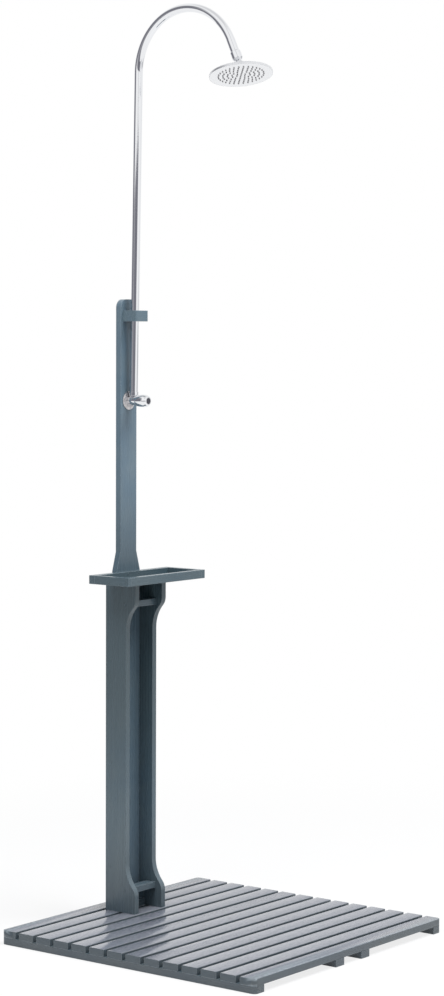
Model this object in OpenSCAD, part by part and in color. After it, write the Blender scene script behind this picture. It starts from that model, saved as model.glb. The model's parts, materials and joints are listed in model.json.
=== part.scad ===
// Outdoor shower post: a slatted deck, a boxed post with a shelf tray, a tap,
// a gooseneck pipe and a round shower head on a ball joint.
// Lengths are in millimetres and angles in degrees. X runs along the slats,
// Y to the back and Z up. The origin is the middle of the deck, on the ground.

/* [Deck] */
// Length of the slats, which is the deck's width
deck_w = 800; // [700:10:1000]
// Depth of the deck, from front to back
deck_d = 800; // [760:10:900]
// Thickness of a slat
slat_t = 18; // [16:1:24]
// Gap between two slats
slat_gap = 12; // [8:1:14]
// Width of a joist
joist_w = 35; // [32:1:45]
// Height of a joist
joist_h = 18; // [16:1:40]
// Radius of the deck's four outer corners
deck_corner_r = 12; // [4:1:20]

/* [Post] */
// Width of the post over its two side boards
post_w = 125; // [110:1:140]
// Thickness of a side board
side_t = 16; // [14:1:20]
// Depth of a side board between its wide ends
side_d = 67; // [60:1:80]
// How far the wide ends stand forward
flare_d = 31.5; // [25:0.5:40]
// Height of the side boards
side_h = 864; // [760:1:950]
// Straight part of a wide end
flare_straight = 45; // [35:1:60]
// Height of the curve between a wide end and the middle
flare_curve_h = 82; // [70:1:110]
// Thickness of the spine board
spine_t = 16; // [14:1:22]
// Height of the spine board, from the deck to its top
spine_h = 1592; // [1500:1:1700]
// Width of the spine board above the tray
spine_w = 64; // [58:1:74]
// Height of the taper above the tray
taper_h = 50; // [30:1:90]
// How far the spine sits inside the side boards' back edges
spine_inset = 7.5; // [4:0.5:12]
// Height of a rail
rail_h = 16; // [12:1:22]
// Depth of a rail
rail_d = 30; // [22:1:34]

/* [Shelf tray] */
// Width of the tray
tray_w = 314; // [240:1:400]
// Depth of the tray
tray_d = 130; // [120:1:150]
// Height of the tray's rims
tray_h = 22; // [20:1:40]
// Thickness of the front rim and the two ends
rim_t = 14; // [12:1:18]
// Thickness of the back rim
back_rim_t = 18; // [14:1:20]
// Thickness of a floor board
floor_t = 8; // [7:0.5:10]
// Gap between two floor boards
floor_gap = 4; // [2:0.5:8]

/* [Clamp block] */
// Width of the block
block_w = 48; // [40:1:60]
// Depth of the block
block_d = 46; // [38:1:60]
// Height of the block
block_h = 28; // [20:1:40]
// Distance from the spine's top to the block's top
block_drop = 29; // [22:1:80]

/* [Tap] */
// Distance from the spine's top to the tap's axis
tap_drop = 262; // [220:1:320]
// Diameter of the rosette
rosette_d = 48; // [40:1:56]
// Height of the rosette
rosette_h = 4.2; // [3:0.1:5]
// Diameter of the valve's barrel
barrel_d = 24; // [23:0.5:26]
// Length of the valve's barrel
barrel_l = 33; // [31:0.5:36]
// Widest diameter of the knob
knob_d = 33; // [31:0.5:38]
// Length of the knob
knob_l = 36.5; // [36:0.5:44]
// Diameter of the cap in the knob's face
cap_d = 16; // [13:0.5:17]
// Major diameter of the thread on the inlet, half-inch pipe thread
thread_d = 20.955; // [20.955:0.005:20.965]

/* [Pipe] */
// Outer diameter of the pipe
pipe_d = 22; // [21:0.1:23]
// Wall of the pipe
pipe_wall = 1.2; // [1:0.1:1.5]
// Forward lean of the pipe
pipe_lean = 1; // [0:0.1:1.5]
// Straight length above the tap's axis
riser_l = 842; // [700:1:950]
// Radius of the gooseneck's centre line
bend_r = 156; // [110:1:180]
// Angle of the gooseneck's bend
bend_angle = 154; // [140:1:170]
// Straight length after the bend
tail_l = 46; // [40:1:90]

/* [Shower head] */
// Diameter of the head
head_d = 160; // [150:1:220]
// Depth of the head's rim
head_rim_h = 9; // [8:0.5:14]
// Wall of the head's shell
shell_wall = 1.2; // [1:0.1:1.5]
// Turn of the head about the pipe's end
head_turn = 36; // [-180:1:180]
// Tilt of the head away from the pipe's end
head_tilt = 14.5; // [0:0.5:20]
// Diameter of the ball
ball_d = 22; // [21.5:0.1:22.5]
// Rings of nozzles round the middle one
nozzle_rings = 5; // [3:1:5]
// Distance between two rings
nozzle_pitch = 11.4; // [10:0.1:12]
// Diameter of a nozzle
nozzle_d = 3.8; // [3:0.1:4]

/* [Hidden] */
$fn = 64;

// Paint and metal, as the photo shows them
paint_colour = [0.33, 0.40, 0.43];
chrome_colour = [0.80, 0.81, 0.83];
brass_colour = [0.72, 0.60, 0.36];
steel_colour = [0.60, 0.61, 0.62];
rubber_colour = [0.12, 0.12, 0.13];
ceramic_colour = [0.90, 0.89, 0.85];
cap_colour = [0.22, 0.21, 0.27];
mat_colour = [0.62, 0.63, 0.66];

// Deck
slat_count = 14;
slat_w = (deck_d - (slat_count - 1) * slat_gap) / slat_count;
slat_pitch = slat_w + slat_gap;
slat_ease = 1.6;
deck_h = joist_h + slat_t;
function slat_y(i) = deck_d / 2 - slat_w / 2 - i * slat_pitch;

// Post
post_back = deck_d / 2 - slat_pitch;
side_x = post_w / 2 - side_t / 2;
flare_full = side_d + flare_d;
flare_phi = 2 * atan(flare_d / flare_curve_h);
flare_radii = flare_curve_h / sin(flare_phi);
flare_out_share = 0.28;
flare_out_r = flare_radii * flare_out_share;
flare_in_r = flare_radii - flare_out_r;
channel_w = post_w - 2 * side_t;
spine_back = post_back - spine_inset;
spine_y = spine_back - spine_t;
spine_top = deck_h + spine_h;
spine_top_r = 22;
post_front = post_back - flare_full;
rail_setback = 20;
rail_inset = 50;
rail_y = post_front + rail_setback;
foot_d = 20;
foot_h = 18;
tray_z = deck_h + side_h;
tray_top = tray_z + tray_h;
taper_gap = 2;
arc_steps = 12;

// Tray
tray_front = spine_y - tray_d;
floor_boards = 3;
floor_room = tray_d - back_rim_t - rim_t;
floor_w = (floor_room - (floor_boards - 1) * floor_gap) / floor_boards;
floor_l = tray_w - 2 * rim_t;

// Clamp block
block_top = spine_top - block_drop;
block_mid = block_top - block_h / 2;
block_ease = 3;
pipe_clear = 0.2;

// Wood screws: countersunk, the same from head to tip
screw_d = 4;
screw_head_d = 8;
screw_head_h = 2.2;
screw_tip_h = 3;
screw_tip_d = 1;
screw_clear = 0.05;
thin_screw_d = 3;
thin_screw_head_d = 6;
spine_bite_share = 0.75;
deck_screw_shift = 10;
deck_screw_bite = 12;
bolt_d = 6;
bolt_head_d = 11;
bolt_head_h = 3.5;
bolt_bite = 45;
bolt_inset = 17;
overrun = 1;

// Tap: lengths along its axis, from the spine's face outwards
tap_z = spine_top - tap_drop;
shank_d = 22.911;
shank_hole_clear = 0.3;
inlet_l = 10;
fit = 0.05;
play = 0.3;
waterway_d = 12;
seat_z = 8;
seat_seal_h = 2;
disc_h = 3;
disc_d = 15;
driver_h = 2.5;
headwork_d = 18;
headwork_flange_h = 3;
stem_d = 8;
stem_flat = 6.4;
spindle_end = 21;
port_angle = 90;
seal_cord = 1.8;
knob_gap = 3;
knob_skirt_wall = 1.6;
knob_swell_share = 0.62;
cap_h = 2.6;
cap_ledge = 1.2;
knob_web = 2.5;
knob_screw_d = 4;
knob_screw_head_d = 7.2;
knob_screw_head_h = 2.5;
knob_screw_bite = 10;
nipple_l = 20;
shoulder_l = 14;
collar_wall = 1.5;
collar_h = 9;
washer_t = 1.5;
washer_d = 34;
nut_h = 6;
shank_end_z = -spine_t - washer_t - nut_h;
inlet_z = shank_end_z - inlet_l;
nut_d = 34.6;

// Pipe
pipe_bore_d = pipe_d - 2 * pipe_wall;
nipple_d = pipe_bore_d - 2 * fit;
pipe_out = rosette_h + play + collar_wall + pipe_d / 2;
sleeve_step = 0.3;
sleeve_d = pipe_d + 2 * sleeve_step;
sleeve_lap = 4;

// Head: heights along its axis, from the ball's centre
ball_r = ball_d / 2;
ball_play = 0.15;
ball_flat = 9.6;
stud_bore_d = 7;
stud_neck_d = 11;
stud_flange_d = pipe_d - 2 * pipe_clear;
stud_flange_h = 3;
end_washer_h = 3;
nut_floor_z = 12.5;
nut_room_z = 18;
end_nut_wall = 2.2;
end_nut_grip = 14;
end_nut_d = sleeve_d + 2 * end_nut_wall;
ball_drop = nut_room_z + stud_flange_h + end_washer_h;
collar_lip_z = 6.2;
collar_top_z = 7.5;
collar_top_d = 23;
ball_collar_d = 33;
collar_shoulder_z = -2;
collar_bottom_z = -14;
boss_d = 27;
boss_top_z = -5;
seat_h = 5;
seat_bore_d = 13;
boss_foot_z = -16.5;
roof_drop = 3;
head_edge_r = 4;
face_z = boss_foot_z - roof_drop + head_edge_r - head_rim_h - 2 * shell_wall;
face_t = 1.2;
mat_t = 1.5;
mat_margin = 5;
nozzle_out = 2.6;
nozzle_tip_d = 2.6;
nozzle_clear = 0.1;
nozzle_bore_d = 1.2;
nozzles_per_ring = 6;
nozzle_turn = 10;

// Points on an arc round (cx, cy)
function arc(cx, cy, r, a0, a1) = [
    for (i = [0:arc_steps])
        let (a = a0 + (a1 - a0) * i / arc_steps)
            [cx + r * cos(a), cy + r * sin(a)]
];

// Frames: the tap's axis, the pipe's axis, the pipe's end, the ball and the head
module at_tap() {
    translate([0, spine_y, tap_z]) rotate([90, 0, 0]) children();
}

module at_pipe() {
    translate([0, spine_y - pipe_out, tap_z]) rotate([pipe_lean, 0, 0]) children();
}

module at_bend_end() {
    at_pipe()
        translate([0, -bend_r * (1 - cos(bend_angle)), riser_l + bend_r * sin(bend_angle)])
            rotate([bend_angle - 180, 0, 0]) children();
}

module at_ball() {
    at_bend_end() translate([0, 0, -tail_l - ball_drop]) children();
}

module at_head() {
    at_ball() rotate([0, 0, head_turn]) rotate([head_tilt, 0, 0]) children();
}

// A hole or a pin along Z from z0 to z1
module rod(d, z0, z1) {
    translate([0, 0, z0]) cylinder(d = d, h = z1 - z0);
}

module cone(d0, d1, z0, z1) {
    translate([0, 0, z0]) cylinder(d1 = d0, d2 = d1, h = z1 - z0);
}

module ring(d, bore, z0, z1) {
    translate([0, 0, z0]) difference() {
        cylinder(d = d, h = z1 - z0);
        translate([0, 0, -overrun]) cylinder(d = bore, h = z1 - z0 + 2 * overrun);
    }
}

// A box from its lowest to its highest corner
module block(low, high) {
    translate(low) cube(high - low);
}

// Half the outline of a countersunk screw, or of its hole, below the head's face
function screw_outline(d, head_d, head_h, l, clear) = [
    [head_d / 2 + clear, 0], [d / 2 + clear, -head_h], [d / 2 + clear, screw_tip_h - l],
    [screw_tip_d / 2 + clear, -l - clear], [0, -l - clear]
];

// Countersunk screw with its head at the origin, driven along -Z
module screw(d, head_d, head_h, l) {
    rotate_extrude() polygon(concat([[0, 0]], screw_outline(d, head_d, head_h, l, 0)));
}

module countersunk_hole(d, head_d, head_h, l) {
    mouth = [[0, overrun], [head_d / 2 + screw_clear, overrun]];
    rotate_extrude() polygon(concat(mouth, screw_outline(d, head_d, head_h, l, screw_clear)));
}

// Every wood screw as [place, turn, length, diameter, head diameter]
function side_screw(side, y, z) =
    [[side * post_w / 2, y, z], [0, side * 90, 0], 2 * side_t + screw_head_h, screw_d, screw_head_d];

side_screw_shares = [0.135, 0.448, 0.762];
spine_side_screws = [
    for (side = [-1, 1]) for (s = side_screw_shares)
        side_screw(side, spine_y + spine_t / 2, deck_h + side_h * s)
];
upper_rail_z = tray_z - rail_inset - rail_h / 2;
lower_rail_z = deck_h + rail_inset + rail_h / 2;
upper_rail_screws = [for (side = [-1, 1]) side_screw(side, rail_y + rail_d / 2, upper_rail_z)];
lower_rail_screws = [for (side = [-1, 1]) side_screw(side, rail_y + rail_d / 2, lower_rail_z)];
foot_screws = [for (side = [-1, 1]) side_screw(side, spine_y - foot_d / 2, deck_h + foot_h / 2)];
tray_spine_screws = [
    for (side = [-1, 1])
        [[side * spine_w / 3, spine_y - back_rim_t, (tray_z + floor_t + tray_top) / 2],
         [90, 0, 0], back_rim_t + spine_t * spine_bite_share, thin_screw_d, thin_screw_head_d]
];
tray_side_screws = [
    for (side = [-1, 1])
        for (y = [post_front + 2 * screw_head_h + screw_head_d, spine_y - back_rim_t - floor_w / 2])
            [[side * side_x, y, tray_z + floor_t], [0, 0, 0], side_t + floor_t, screw_d, screw_head_d]
];
front_corner_screws = [
    for (side = [-1, 1])
        [[side * tray_w / 2, tray_front + rim_t / 2, tray_z + tray_h / 2],
         [0, side * 90, 0], rim_t + back_rim_t, screw_d, screw_head_d]
];
back_corner_screws = [
    for (side = [-1, 1])
        [[side * (tray_w - rim_t) / 2, spine_y, tray_z + tray_h / 2],
         [-90, 0, 0], rim_t + back_rim_t, screw_d, screw_head_d]
];
floor_end_screws = [
    for (side = [-1, 1]) for (i = [0:floor_boards - 1])
        [[side * tray_w / 2, floor_y(i), tray_z + floor_t / 2],
         [0, side * 90, 0], rim_t + back_rim_t, thin_screw_d, thin_screw_head_d]
];
block_screws = [
    for (side = [-1, 1])
        [[side * (block_w + pipe_d) / 4, spine_back, block_mid],
         [-90, 0, 0], spine_t + block_d / 2, screw_d, screw_head_d]
];
function floor_y(i) = tray_front + rim_t + floor_w / 2 + i * (floor_w + floor_gap);

module at_screw(s) {
    translate(s[0]) rotate(s[1]) children();
}

module screws(places) {
    for (s = places) at_screw(s) screw(s[3], s[4], screw_head_h, s[2]);
}

module screw_holes(places) {
    for (s = places) at_screw(s) countersunk_hole(s[3], s[4], screw_head_h, s[2]);
}

// Deck

// Where the deck screws stand: the middle joists leave room for the foot bolts
joist_places = [
    [-deck_w / 2 + joist_w / 2, 0], [-side_x, -1], [side_x, 1], [deck_w / 2 - joist_w / 2, 0]
];
function deck_screw_x(j) = joist_places[j][0] + joist_places[j][1] * deck_screw_shift;
bolt_places = [
    for (side = [-1, 1]) for (y = [post_back - bolt_inset, post_front + bolt_inset]) [side * side_x, y]
];

module deck_screw_at(x, y) {
    translate([x, y, 0]) rotate([180, 0, 0]) children();
}

module deck_outline() {
    r = deck_corner_r;
    union() {
        square([deck_w - 2 * r, deck_d], center = true);
        square([deck_w, deck_d - 2 * r], center = true);
        for (x = [-1, 1]) for (y = [-1, 1])
            translate([x * (deck_w / 2 - r), y * (deck_d / 2 - r)]) circle(r = r);
    }
}

module slat_bar() {
    w = slat_w / 2;
    translate([deck_w / 2, 0, 0]) rotate([90, 0, -90]) linear_extrude(deck_w)
        polygon([[-w, 0], [w, 0], [w, slat_t - slat_ease], [w - slat_ease, slat_t],
                 [slat_ease - w, slat_t], [-w, slat_t - slat_ease]]);
}

module slat(i) {
    y = slat_y(i);
    color(paint_colour) difference() {
        intersection() {
            translate([0, y, joist_h]) slat_bar();
            if (i == 0 || i == slat_count - 1) linear_extrude(deck_h + overrun) deck_outline();
        }
        for (j = [0:3]) deck_screw_at(deck_screw_x(j), y)
            countersunk_hole(screw_d, screw_head_d, screw_head_h, joist_h + deck_screw_bite);
        for (b = bolt_places) if (abs(b[1] - y) < slat_w / 2 + bolt_d)
            translate([b[0], b[1], 0]) rod(bolt_d + 2 * screw_clear, 0, deck_h + overrun);
    }
}

module joist(j) {
    x = joist_places[j][0];
    color(paint_colour) difference() {
        intersection() {
            block([x - joist_w / 2, -deck_d / 2, 0], [x + joist_w / 2, deck_d / 2, joist_h]);
            if (j == 0 || j == 3) linear_extrude(joist_h + overrun) deck_outline();
        }
        for (i = [0:slat_count - 1]) deck_screw_at(deck_screw_x(j), slat_y(i))
            countersunk_hole(screw_d, screw_head_d, screw_head_h, joist_h + deck_screw_bite);
        for (b = bolt_places) if (abs(b[0] - x) < joist_w / 2)
            deck_screw_at(b[0], b[1])
                countersunk_hole(bolt_d, bolt_head_d, bolt_head_h, deck_h + bolt_bite);
    }
}

module deck_screws() {
    color(steel_colour) for (j = [0:3]) for (i = [0:slat_count - 1])
        deck_screw_at(deck_screw_x(j), slat_y(i))
            screw(screw_d, screw_head_d, screw_head_h, joist_h + deck_screw_bite);
}

module foot_bolts() {
    color(steel_colour) for (b = bolt_places) deck_screw_at(b[0], b[1])
        screw(bolt_d, bolt_head_d, bolt_head_h, deck_h + bolt_bite);
}

// Post

// Front edge of a wide end, from its straight part to the middle
flare_edge = concat(
    arc(flare_full - flare_out_r, flare_straight, flare_out_r, 0, flare_phi),
    arc(side_d + flare_in_r, flare_straight + flare_curve_h, flare_in_r, 180 + flare_phi, 180)
);

module side_profile() {
    last = len(flare_edge) - 1;
    polygon(concat(
        [[0, 0], [flare_full, 0]],
        flare_edge,
        [for (i = [last:-1:0]) [flare_edge[i][0], side_h - flare_edge[i][1]]],
        [[flare_full, side_h], [0, side_h]]
    ));
}

module side_board(side) {
    outer = side > 0 ? post_w / 2 : side_t - post_w / 2;
    color(paint_colour) difference() {
        translate([outer, post_back, deck_h]) rotate([90, 0, -90])
            linear_extrude(side_t) side_profile();
        screw_holes(concat(spine_side_screws, upper_rail_screws, lower_rail_screws, foot_screws));
        screw_holes(tray_side_screws);
        for (b = bolt_places) deck_screw_at(b[0], b[1])
            countersunk_hole(bolt_d, bolt_head_d, bolt_head_h, deck_h + bolt_bite);
    }
}

module spine_profile() {
    wide = channel_w / 2;
    slim = spine_w / 2;
    foot = side_h + tray_h + taper_gap;
    r = spine_top_r;
    right = concat([[wide, 0], [wide, foot], [slim, foot + taper_h]], arc(slim - r, spine_h - r, r, 0, 90));
    last = len(right) - 1;
    polygon(concat(right, [for (i = [last:-1:0]) [-right[i][0], right[i][1]]]));
}

module spine_board() {
    color(paint_colour) difference() {
        translate([0, spine_back, deck_h]) rotate([90, 0, 0]) linear_extrude(spine_t) spine_profile();
        at_tap() rod(shank_d + 2 * shank_hole_clear, -spine_t - overrun, overrun);
        screw_holes(concat(spine_side_screws, tray_spine_screws, block_screws));
    }
}

module rail(z, places) {
    color(paint_colour) difference() {
        block([-channel_w / 2, rail_y, z - rail_h / 2],
              [channel_w / 2, rail_y + rail_d, z + rail_h / 2]);
        screw_holes(places);
    }
}

module foot_block() {
    color(paint_colour) difference() {
        block([-channel_w / 2, spine_y - foot_d, deck_h], [channel_w / 2, spine_y, deck_h + foot_h]);
        screw_holes(foot_screws);
    }
}

module wood_screws() {
    color(steel_colour) {
        screws(concat(spine_side_screws, upper_rail_screws, lower_rail_screws, foot_screws));
        screws(concat(tray_spine_screws, tray_side_screws, front_corner_screws));
        screws(concat(back_corner_screws, floor_end_screws, block_screws));
    }
}

// Tray

module tray_front_rim() {
    color(paint_colour) difference() {
        block([-floor_l / 2, tray_front, tray_z], [floor_l / 2, tray_front + rim_t, tray_top]);
        screw_holes(front_corner_screws);
    }
}

module tray_back_rim() {
    color(paint_colour) difference() {
        block([-tray_w / 2, spine_y - back_rim_t, tray_z], [tray_w / 2, spine_y, tray_top]);
        screw_holes(concat(back_corner_screws, tray_spine_screws));
    }
}

module tray_end(side) {
    x = side * (tray_w - rim_t) / 2;
    color(paint_colour) difference() {
        block([x - rim_t / 2, tray_front, tray_z], [x + rim_t / 2, spine_y - back_rim_t, tray_top]);
        screw_holes(concat(front_corner_screws, back_corner_screws, floor_end_screws));
    }
}

module tray_floor() {
    color(paint_colour) difference() {
        for (i = [0:floor_boards - 1])
            block([-floor_l / 2, floor_y(i) - floor_w / 2, tray_z],
                  [floor_l / 2, floor_y(i) + floor_w / 2, tray_z + floor_t]);
        screw_holes(concat(floor_end_screws, tray_side_screws));
    }
}

// Clamp block

module clamp_block() {
    e = block_ease;
    w = block_w / 2;
    color(paint_colour) difference() {
        translate([0, spine_y, block_top - block_h]) linear_extrude(block_h)
            polygon([[-w, 0], [-w, e - block_d], [e - w, -block_d], [w - e, -block_d],
                     [w, e - block_d], [w, 0]]);
        at_pipe() rod(pipe_d + 2 * pipe_clear, block_top - block_h - tap_z - 2 * overrun - pipe_out,
                      block_top - tap_z + 2 * overrun + pipe_out);
        screw_holes(block_screws);
    }
}

// Tap: along its axis, +Z outwards and +Y up

cartridge_z = seat_z + seat_seal_h;
driver_z = cartridge_z + 2 * disc_h;
stem_z = driver_z + driver_h;
flange_z = barrel_l + headwork_flange_h;
stem_end = flange_z + spindle_end;
knob_z = barrel_l - knob_gap;
knob_end = knob_z + knob_l;
cap_z = knob_end - cap_h;
hub_top = stem_end + fit;
web_top = hub_top + knob_web;

// A flat ring against the spine, domed towards the barrel
module rosette() {
    inner = barrel_d / 2 + fit;
    lip = rosette_h / 3;
    color(chrome_colour) at_tap() rotate_extrude()
        polygon(concat(
            [[inner, 0], [rosette_d / 2, 0]],
            [for (a = [0:15:90])
                [inner + (rosette_d / 2 - inner) * cos(a), lip + (rosette_h - lip) * sin(a)]]
        ));
}

module outlet_groove(z) {
    rotate_extrude() translate([nipple_d / 2, z]) circle(d = seal_cord);
}

seal_shares = [0.35, 0.7];
seal_zs = [for (s = seal_shares) shoulder_l + nipple_l * s];

module valve_body() {
    color(chrome_colour) difference() {
        union() {
            at_tap() rod(shank_d, shank_end_z, overrun);
            at_tap() rod(thread_d, inlet_z, shank_end_z + overrun);
            at_tap() rod(barrel_d, 0, barrel_l);
            at_pipe() rod(pipe_d, 0, shoulder_l);
            at_pipe() rod(nipple_d, shoulder_l - overrun, shoulder_l + nipple_l);
        }
        at_tap() rod(waterway_d, inlet_z - overrun, seat_z + overrun);
        at_tap() rod(headwork_d, seat_z, barrel_l + overrun);
        at_pipe() rod(waterway_d, 0, shoulder_l + nipple_l + overrun);
        for (z = seal_zs) at_pipe() outlet_groove(z);
    }
}

module riser_seals() {
    color(rubber_colour) for (z = seal_zs) at_pipe() difference() {
        rotate_extrude() translate([nipple_d / 2, z]) circle(d = seal_cord - 2 * fit);
        ring(pipe_d + 2 * seal_cord, pipe_bore_d - fit, z - seal_cord, z + seal_cord);
    }
}

module back_washer() {
    color(rubber_colour) at_tap() ring(washer_d, shank_d + 2 * fit, -spine_t - washer_t, -spine_t);
}

module back_nut() {
    color(brass_colour) at_tap() translate([0, 0, shank_end_z]) difference() {
        cylinder(d = nut_d, h = nut_h, $fn = 6);
        rod(shank_d + 2 * fit, -overrun, nut_h + overrun);
    }
}

// Two opposite sectors, which are the ports of a disc
module ports(z0, z1) {
    reach = disc_d;
    half = port_angle / 2;
    translate([0, 0, z0]) linear_extrude(z1 - z0) for (side = [-1, 1])
        polygon([[0, 0], side * reach * [sin(half), cos(half)], side * reach * [-sin(half), cos(half)]]);
}

module disc(z, hub, turn) {
    difference() {
        rod(disc_d, z, z + disc_h);
        rotate([0, 0, turn]) difference() {
            intersection() {
                ports(z - overrun, z + disc_h + overrun);
                rod(waterway_d, z - overrun, z + disc_h + overrun);
            }
            rod(hub, z - 2 * overrun, z + disc_h + 2 * overrun);
        }
    }
}

module seat_seal() {
    color(rubber_colour) at_tap() ring(headwork_d - 2 * fit, waterway_d, seat_z, cartridge_z);
}

module fixed_disc() {
    color(ceramic_colour) at_tap() disc(cartridge_z, stem_d / 2, 0);
}

module moving_disc() {
    color(ceramic_colour) at_tap() disc(cartridge_z + disc_h, stem_d / 2, port_angle);
}

module spindle() {
    color(brass_colour) at_tap() difference() {
        union() {
            difference() {
                rod(disc_d, driver_z, stem_z);
                rotate([0, 0, port_angle]) difference() {
                    ports(driver_z - overrun, stem_z + overrun);
                    rod(stem_d, driver_z - 2 * overrun, stem_z + 2 * overrun);
                }
            }
            rod(stem_d, driver_z, flange_z);
            intersection() {
                rod(stem_d, flange_z - overrun, stem_end);
                block([-stem_d, -stem_flat / 2, 0], [stem_d, stem_flat / 2, stem_end + overrun]);
            }
        }
        rod(knob_screw_d + 2 * fit, stem_end - knob_screw_bite, stem_end + overrun);
    }
}

seal_z = (stem_z + flange_z) / 2;

module headwork() {
    color(brass_colour) at_tap() difference() {
        union() {
            rod(headwork_d - 2 * fit, cartridge_z, barrel_l);
            rod(barrel_d, barrel_l, flange_z);
        }
        rod(disc_d + 2 * fit, cartridge_z - overrun, stem_z + fit);
        rod(stem_d + 2 * fit, stem_z, flange_z + overrun);
        rod(stem_d + 2 * seal_cord, seal_z - seal_cord / 2 - fit, seal_z + seal_cord / 2 + fit);
        block([-waterway_d / 4, -headwork_d, driver_z - disc_h / 2],
              [waterway_d / 4, headwork_d, stem_z]);
    }
}

module spindle_seal() {
    color(rubber_colour) at_tap() translate([0, 0, seal_z]) rotate_extrude()
        translate([stem_d / 2 + fit + seal_cord / 2 - fit, 0]) circle(d = seal_cord - 2 * fit);
}

// The knob's side swells from its skirt to the middle and rounds off to the face
module knob() {
    r0 = barrel_d / 2 + play + knob_skirt_wall;
    r1 = knob_d / 2;
    face_r = cap_d / 2 + knob_skirt_wall;
    swell = knob_l * knob_swell_share;
    round = knob_end - knob_z - swell;
    color(chrome_colour) at_tap() difference() {
        rotate_extrude() polygon(concat(
            [[0, knob_z], [r0, knob_z]],
            [for (a = [15:15:90]) [r0 + (r1 - r0) * sin(a), knob_z + swell * a / 90]],
            [for (a = [15:15:90]) [face_r + (r1 - face_r) * cos(a), knob_z + swell + round * sin(a)]],
            [[0, knob_end]]
        ));
        rod(barrel_d + 2 * play, knob_z - overrun, flange_z + play);
        difference() {
            rod(stem_d + 2 * fit, flange_z, hub_top);
            for (side = [-1, 1]) translate([0, side * (stem_flat / 2 + fit + stem_d / 2), 0])
                block([-stem_d, -stem_d / 2, 0], [stem_d, stem_d / 2, hub_top + overrun]);
        }
        rod(knob_screw_d + 2 * fit, stem_end, web_top + overrun);
        rod(cap_d - 2 * cap_ledge, web_top, cap_z + overrun);
        rod(cap_d + 2 * fit, cap_z, knob_end + overrun);
    }
}

module knob_screw() {
    color(steel_colour) at_tap() {
        rod(knob_screw_d, stem_end - knob_screw_bite + overrun, web_top + overrun);
        rod(knob_screw_head_d, web_top, web_top + knob_screw_head_h);
    }
}

module index_cap() {
    color(cap_colour) at_tap() rod(cap_d, cap_z, knob_end);
}

// Pipe

// The straight end is a sleeve, soldered over the end of the bend
module gooseneck() {
    color(chrome_colour) {
        at_pipe() ring(pipe_d, pipe_bore_d, shoulder_l, riser_l);
        at_pipe() translate([0, -bend_r, riser_l]) rotate([90, 0, 90])
            rotate_extrude(angle = bend_angle, $fn = 96) translate([bend_r, 0]) difference() {
                circle(d = pipe_d, $fn = 32);
                circle(d = pipe_bore_d, $fn = 32);
            }
        at_bend_end() ring(sleeve_d, pipe_bore_d + pipe_wall, -tail_l, sleeve_lap);
    }
}

module riser_collar() {
    color(chrome_colour) at_pipe()
        ring(pipe_d + 2 * collar_wall, pipe_d + 2 * fit, shoulder_l, shoulder_l + collar_h);
}

// Head

module end_washer() {
    color(rubber_colour) at_ball()
        ring(stud_flange_d, stud_bore_d, ball_drop - end_washer_h, ball_drop);
}

module end_nut() {
    r = end_nut_d / 2;
    bottom_r = stud_neck_d / 2 + 2 * end_nut_wall;
    top = ball_drop + end_nut_grip;
    color(chrome_colour) at_ball() difference() {
        rotate_extrude() polygon([
            [0, nut_floor_z], [bottom_r, nut_floor_z], [r, nut_room_z], [r, top - end_nut_wall],
            [r - end_nut_wall / 2, top], [0, top]
        ]);
        rod(stud_neck_d + 2 * fit, nut_floor_z - overrun, nut_room_z + overrun);
        rod(sleeve_d + 2 * fit, nut_room_z, top + overrun);
    }
}

module ball_stud() {
    color(chrome_colour) at_ball() difference() {
        union() {
            intersection() {
                sphere(d = ball_d);
                rod(2 * ball_d, -ball_flat, ball_d);
            }
            rod(stud_neck_d, ball_r / 2, nut_room_z + overrun);
            rod(stud_flange_d, nut_room_z, nut_room_z + stud_flange_h);
        }
        rod(stud_bore_d, -ball_d, nut_room_z + stud_flange_h + overrun);
    }
}

module ball_collar() {
    seat_r = ball_r + ball_play;
    lip_r = sqrt(seat_r * seat_r - collar_lip_z * collar_lip_z);
    color(chrome_colour) at_head() difference() {
        rotate_extrude() polygon([
            [0, collar_bottom_z], [ball_collar_d / 2 - shell_wall, collar_bottom_z],
            [ball_collar_d / 2, collar_bottom_z + shell_wall], [ball_collar_d / 2, collar_shoulder_z],
            [collar_top_d / 2, collar_top_z], [0, collar_top_z]
        ]);
        rod(boss_d + 2 * fit, collar_bottom_z - overrun, boss_top_z + play);
        rod(2 * seat_r, boss_top_z, 0);
        intersection() {
            sphere(r = seat_r);
            rod(4 * seat_r, -overrun, collar_lip_z);
        }
        cone(2 * lip_r, 2 * lip_r + 2 * (collar_top_z - collar_lip_z), collar_lip_z - fit, collar_top_z + fit);
    }
}

module ball_seat() {
    color(rubber_colour) at_head() difference() {
        ring(2 * ball_r, seat_bore_d, boss_top_z - seat_h, boss_top_z);
        sphere(r = ball_r + ball_play);
    }
}

// Outer line of the shell from the boss to the rim, and the same line one wall inside
roof_z = boss_foot_z - roof_drop;
rim_r = head_d / 2;

module shell_line(t) {
    r = rim_r - t;
    e = head_edge_r - t;
    polygon(concat(
        [[0, face_z - overrun], [r, face_z - overrun], [r, roof_z - head_edge_r]],
        [for (a = [15:15:90]) [r - e + e * cos(a), roof_z - head_edge_r + e * sin(a)]],
        [[boss_d / 2, boss_foot_z - t], [0, boss_foot_z - t]]
    ));
}

module head_shell() {
    color(chrome_colour) at_head() difference() {
        union() {
            rotate_extrude($fn = 128) intersection() {
                shell_line(0);
                translate([0, face_z]) square([head_d, -face_z]);
            }
            rod(boss_d, boss_foot_z - shell_wall, boss_top_z);
        }
        rotate_extrude($fn = 128) shell_line(shell_wall);
        rod(2 * ball_r + 2 * fit, boss_top_z - seat_h, boss_top_z + overrun);
        rod(waterway_d, face_z, boss_top_z);
    }
}

function ring_count(k) = k == 0 ? 1 : nozzles_per_ring * k;

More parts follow.
